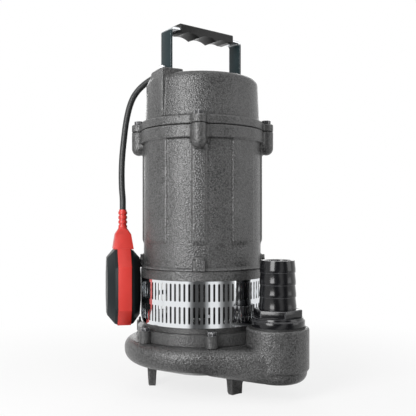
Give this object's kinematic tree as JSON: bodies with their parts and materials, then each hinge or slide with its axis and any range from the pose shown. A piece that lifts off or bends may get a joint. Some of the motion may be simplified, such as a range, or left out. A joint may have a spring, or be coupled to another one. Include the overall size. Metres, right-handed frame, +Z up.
{
  "type": "submersible sump pump",
  "caption": "Submersible sump pump with a painted motor housing, slotted strainer, volute casing, hose tail, carrying handle and a float switch on a short cord.",
  "frame": {"origin": "on the floor under the shaft axis, which is within 3 mm of the middle of the part as seen from above", "axes": "+Z up along the shaft; -Y to the front; the four bolt lugs of the motor housing lie on the X and Y axes; the float hangs at -X"},
  "size_m": [0.257, 0.1995, 0.4495],
  "materials": {
    "hammertone_paint": "grey hammered stove paint on cast aluminium",
    "dark_casting": "dark painted casting",
    "stainless_band": "polished stainless sheet",
    "strap_steel": "dark blue-black lacquered steel",
    "bright_steel": "zinc plated steel",
    "black_bolts": "blackened steel",
    "black_plastic": "glossy black moulded plastic",
    "grip_plastic": "satin black moulded plastic",
    "cord_rubber": "black rubber sheath",
    "seal_rubber": "black moulded rubber",
    "float_red": "red moulded plastic",
    "float_black": "black moulded plastic",
    "bearing_steel": "ground bearing steel",
    "shaft_steel": "turned steel",
    "lamination": "stacked steel sheet",
    "cage_aluminium": "cast aluminium",
    "copper_wire": "enamelled copper wire",
    "impeller_brass": "cast brass",
    "ceramic": null,
    "capacitor_case": "pale moulded plastic",
    "terminal_plastic": "pale moulded plastic",
    "switch_plastic": "dark blue moulded plastic"
  },
  "bodies": {
    "pump": {"pump_casing": "hammertone_paint", "outlet_gasket": "seal_rubber", "hose_tail": "black_plastic", "suction_plate": "dark_casting", "plate_gasket": "seal_rubber", "plate_bolts": "black_bolts", "column_bolts": "bright_steel", "strainer": "stainless_band", "lower_bracket": "hammertone_paint", "bracket_o_ring": "seal_rubber", "bracket_screws": "bright_steel", "oil_plug": "bright_steel", "oil_cover": "dark_casting", "oil_cover_screws": "bright_steel", "seal_seat": "ceramic", "lip_seal": "seal_rubber", "stator_core": "lamination", "stator_windings": "copper_wire", "lower_bearing_outer": "bearing_steel", "upper_bearing_outer": "bearing_steel", "wave_washer": "bright_steel", "upper_bearing_plate": "dark_casting", "motor_housing": "hammertone_paint", "cover_o_ring": "seal_rubber", "top_cover": "hammertone_paint", "cover_bolts": "black_bolts", "capacitor": "capacitor_case", "capacitor_clip": "bright_steel", "terminal_block": "terminal_plastic", "float_cord_grommet": "seal_rubber", "mains_cable_grommet": "seal_rubber", "cable_clamp": "dark_casting", "clamp_screws": "bright_steel", "handle_strap": "strap_steel", "handle_grip": "grip_plastic", "handle_bolts": "bright_steel", "handle_washers": "bright_steel"},
    "rotor": {"shaft": "shaft_steel", "rotor_core": "lamination", "rotor_cage": "cage_aluminium", "impeller": "impeller_brass", "impeller_key": "shaft_steel", "impeller_nut": "bright_steel", "seal_head": "seal_rubber", "seal_spring": "bright_steel", "lower_bearing_inner": "bearing_steel", "upper_bearing_inner": "bearing_steel"},
    "lower_balls": {"lower_bearing_balls": "bearing_steel"},
    "upper_balls": {"upper_bearing_balls": "bearing_steel"},
    "float": {"float_cord": "cord_rubber", "float_frame": "float_red", "float_shell_outer": "float_black", "float_shell_inner": "float_black", "ball_guide": "grip_plastic", "float_switch": "switch_plastic"},
    "ball": {"float_ball": "bearing_steel"},
    "lever": {"switch_lever": "bright_steel"}
  },
  "joints": [
    {"name": "rotor_spin", "type": "hinge", "parent": "pump", "child": "rotor", "pos_m": [0, 0, 0.148], "axis": [0, 0, 1], "continuous": true},
    {"name": "lower_balls_spin", "type": "hinge", "parent": "pump", "child": "lower_balls", "pos_m": [0, 0, 0.1485], "axis": [0, 0, 1], "continuous": true},
    {"name": "upper_balls_spin", "type": "hinge", "parent": "pump", "child": "upper_balls", "pos_m": [0, 0, 0.307], "axis": [0, 0, 1], "continuous": true},
    {"name": "float_swing", "type": "hinge", "parent": "pump", "child": "float", "pos_m": [-0.0495, 0.018, 0.3982], "axis": [0, 1, 0], "range_deg": [0, 120], "deforming": ["float_cord"]},
    {"name": "ball_roll", "type": "slide", "parent": "float", "child": "ball", "axis": [0, 0, 1], "range_m": [0, 0.034]},
    {"name": "lever_press", "type": "hinge", "parent": "float", "child": "lever", "pos_m": [-0.09992, -0.01035, 0.1536], "axis": [0.9703, 0.2419, 0], "range_deg": [0, 6]}
  ],
  "couplings": [
    {"joint": "lower_balls_spin", "follows": "rotor_spin", "ratio": 0.38},
    {"joint": "upper_balls_spin", "follows": "rotor_spin", "ratio": 0.38}
  ]
}
